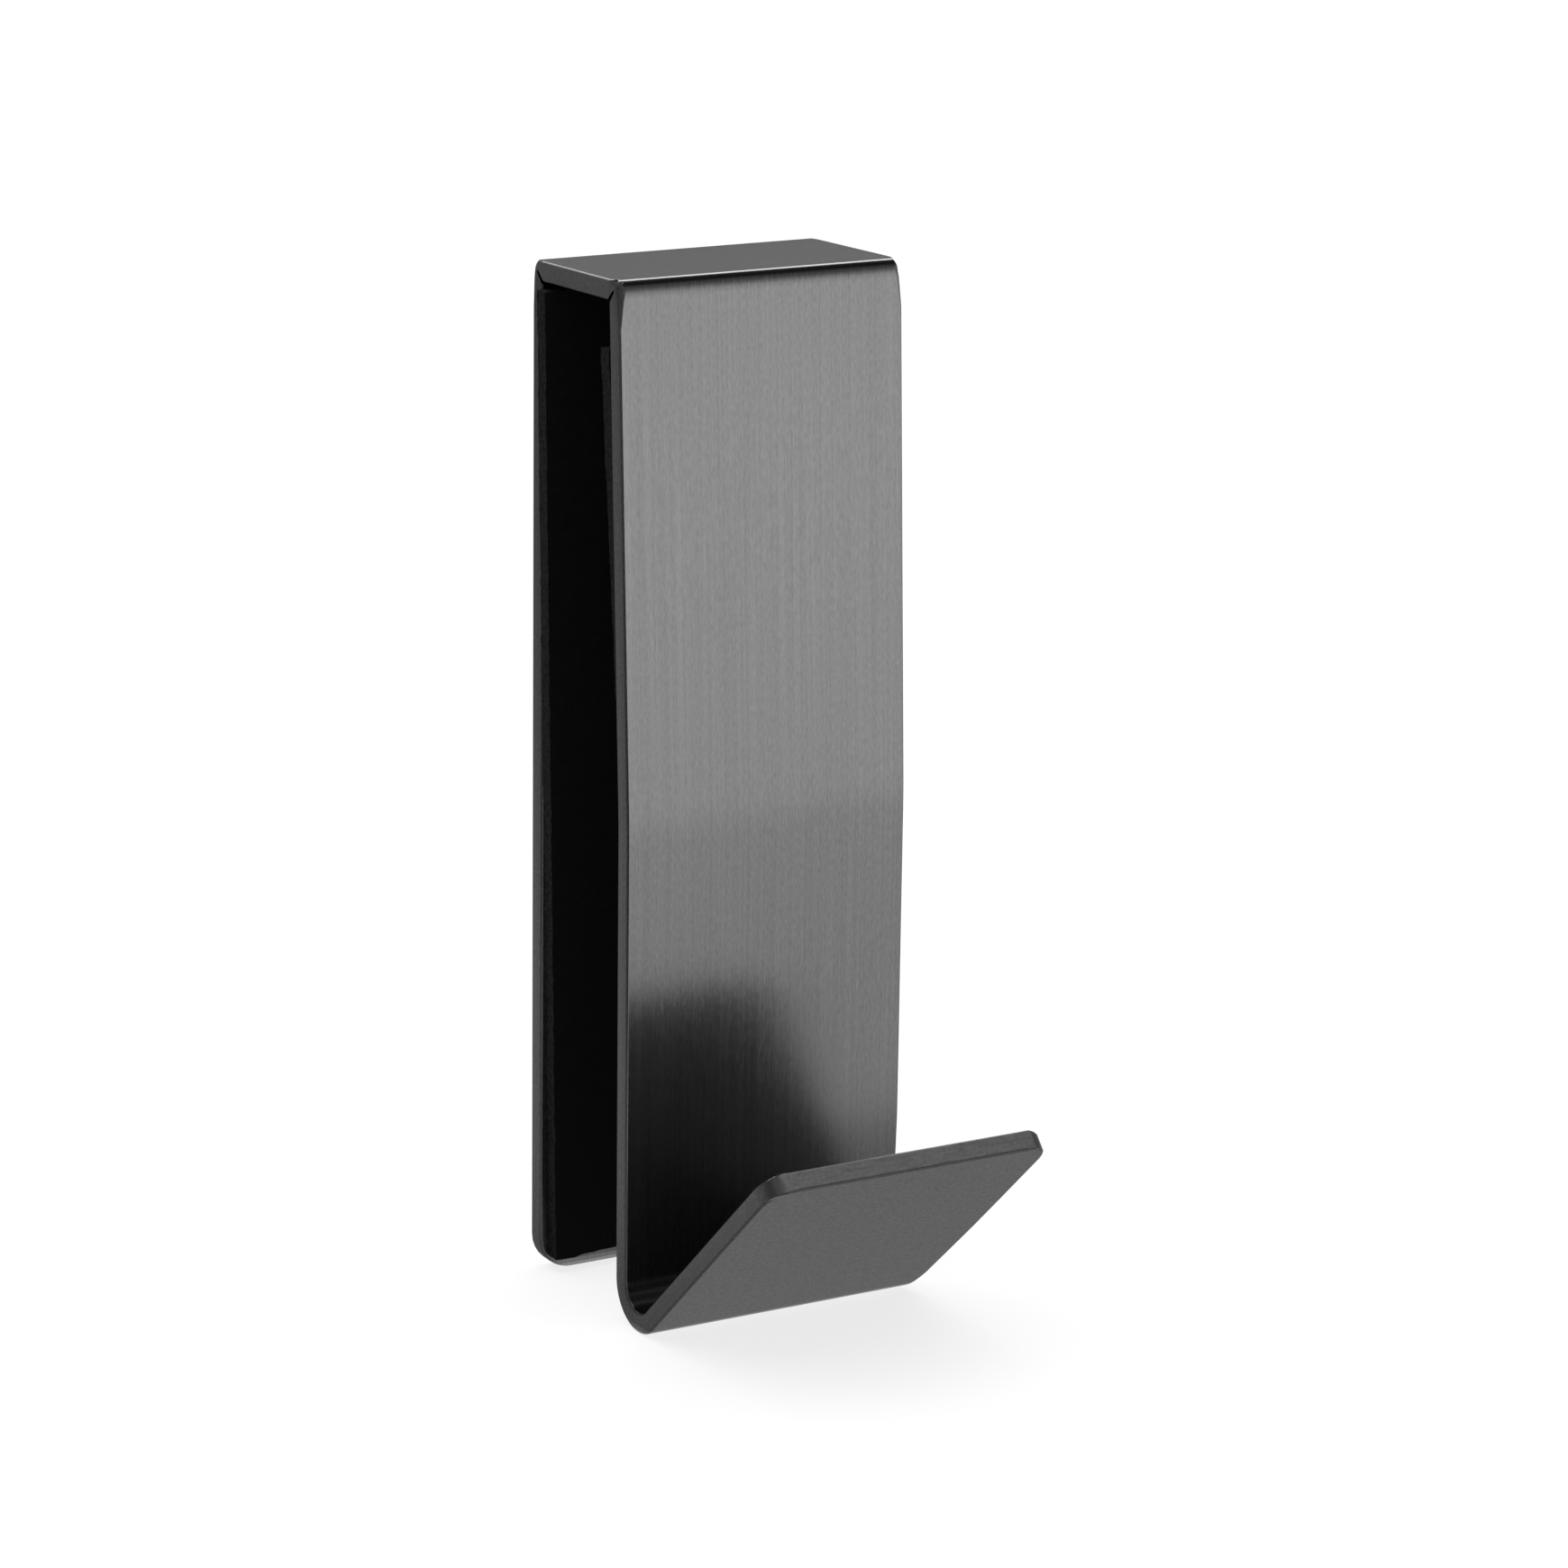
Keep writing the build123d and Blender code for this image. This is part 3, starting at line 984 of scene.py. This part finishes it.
def setWorld():
    world = bpy.data.worlds.new("dimStudio")
    bpy.context.scene.world = world
    world.use_nodes = True
    tree = world.node_tree
    tree.nodes.clear()
    out = newNode(tree, "ShaderNodeOutputWorld", (900, 0))
    background = newNode(tree, "ShaderNodeBackground", (700, 0))
    coords = newNode(tree, "ShaderNodeTexCoord", (-900, 0))
    parts = newNode(tree, "ShaderNodeSeparateXYZ", (-700, 0))
    tree.links.new(coords.outputs["Generated"], parts.inputs[0])

    def patch(name, axis, row):
        return maskNode(tree, parts.outputs[axis], worldSpans[name], (-450, -200 * row))

    behind, low = patch("behind", "Y", 0), patch("low", "Z", 1)
    ahead, nearFloor = patch("ahead", "Y", 2), patch("nearFloor", "Z", 3)
    leftHand, lifted = patch("leftHand", "X", 4), patch("lifted", "Z", 5)
    farLeft, high = patch("farLeft", "X", 6), patch("high", "Z", 7)
    overTop = patch("overTop", "Z", 8)
    rightHand = rangeNode(tree, parts.outputs["X"], *worldSpans["rightHand"], 0.0, 1.0,
                          (-450, -1800))
    lit = (
        ("horizon", (ahead, rightHand, nearFloor)),
        ("frontFill", (ahead, leftHand, low, lifted)),
        ("frontSky", (ahead, low)),
        ("zenith", (overTop,)),
        ("leftHigh", (farLeft, high)),
    )
    wall = mathNode(tree, "MULTIPLY", (-200, 200), behind, low)
    level = rangeNode(tree, wall, 0.0, 1.0, studio["overhead"], studio["backWall"], (0, 200))
    for row, (name, masks) in enumerate(lit):
        share = masks[0]
        for mask in masks[1:]:
            share = mathNode(tree, "MULTIPLY", (-200, -200 * row), share, mask)
        share = mathNode(tree, "MULTIPLY", (0, -200 * row), share, studio[name])
        level = mathNode(tree, "ADD", (200 + 100 * row, 0), level, share)
    tree.links.new(level, background.inputs["Color"])
    tree.links.new(background.outputs[0], out.inputs["Surface"])


def hangSoftbox():
    # lights the floor and the cut edges, unseen in the metal
    deselectAll()
    bpy.ops.object.light_add(type="AREA", location=softbox["place"])
    lamp = bpy.context.object
    lamp.name = "overheadSoftbox"
    downward = Vector(softbox["aim"]) - Vector(softbox["place"])
    lamp.rotation_euler = downward.to_track_quat("-Z", "Y").to_euler()
    lamp.data.shape = "SQUARE"
    lamp.data.size = softbox["size"]
    lamp.data.energy = softbox["watts"]
    lamp.visible_glossy = False
    lamp.visible_camera = False


layFloor()
for cardName, card in cards.items():
    hangCard(cardName, *card)
setWorld()
hangSoftbox()
print("studio lit")

bpy.context.scene.view_settings.view_transform = "Standard"
bpy.context.view_layer.update()
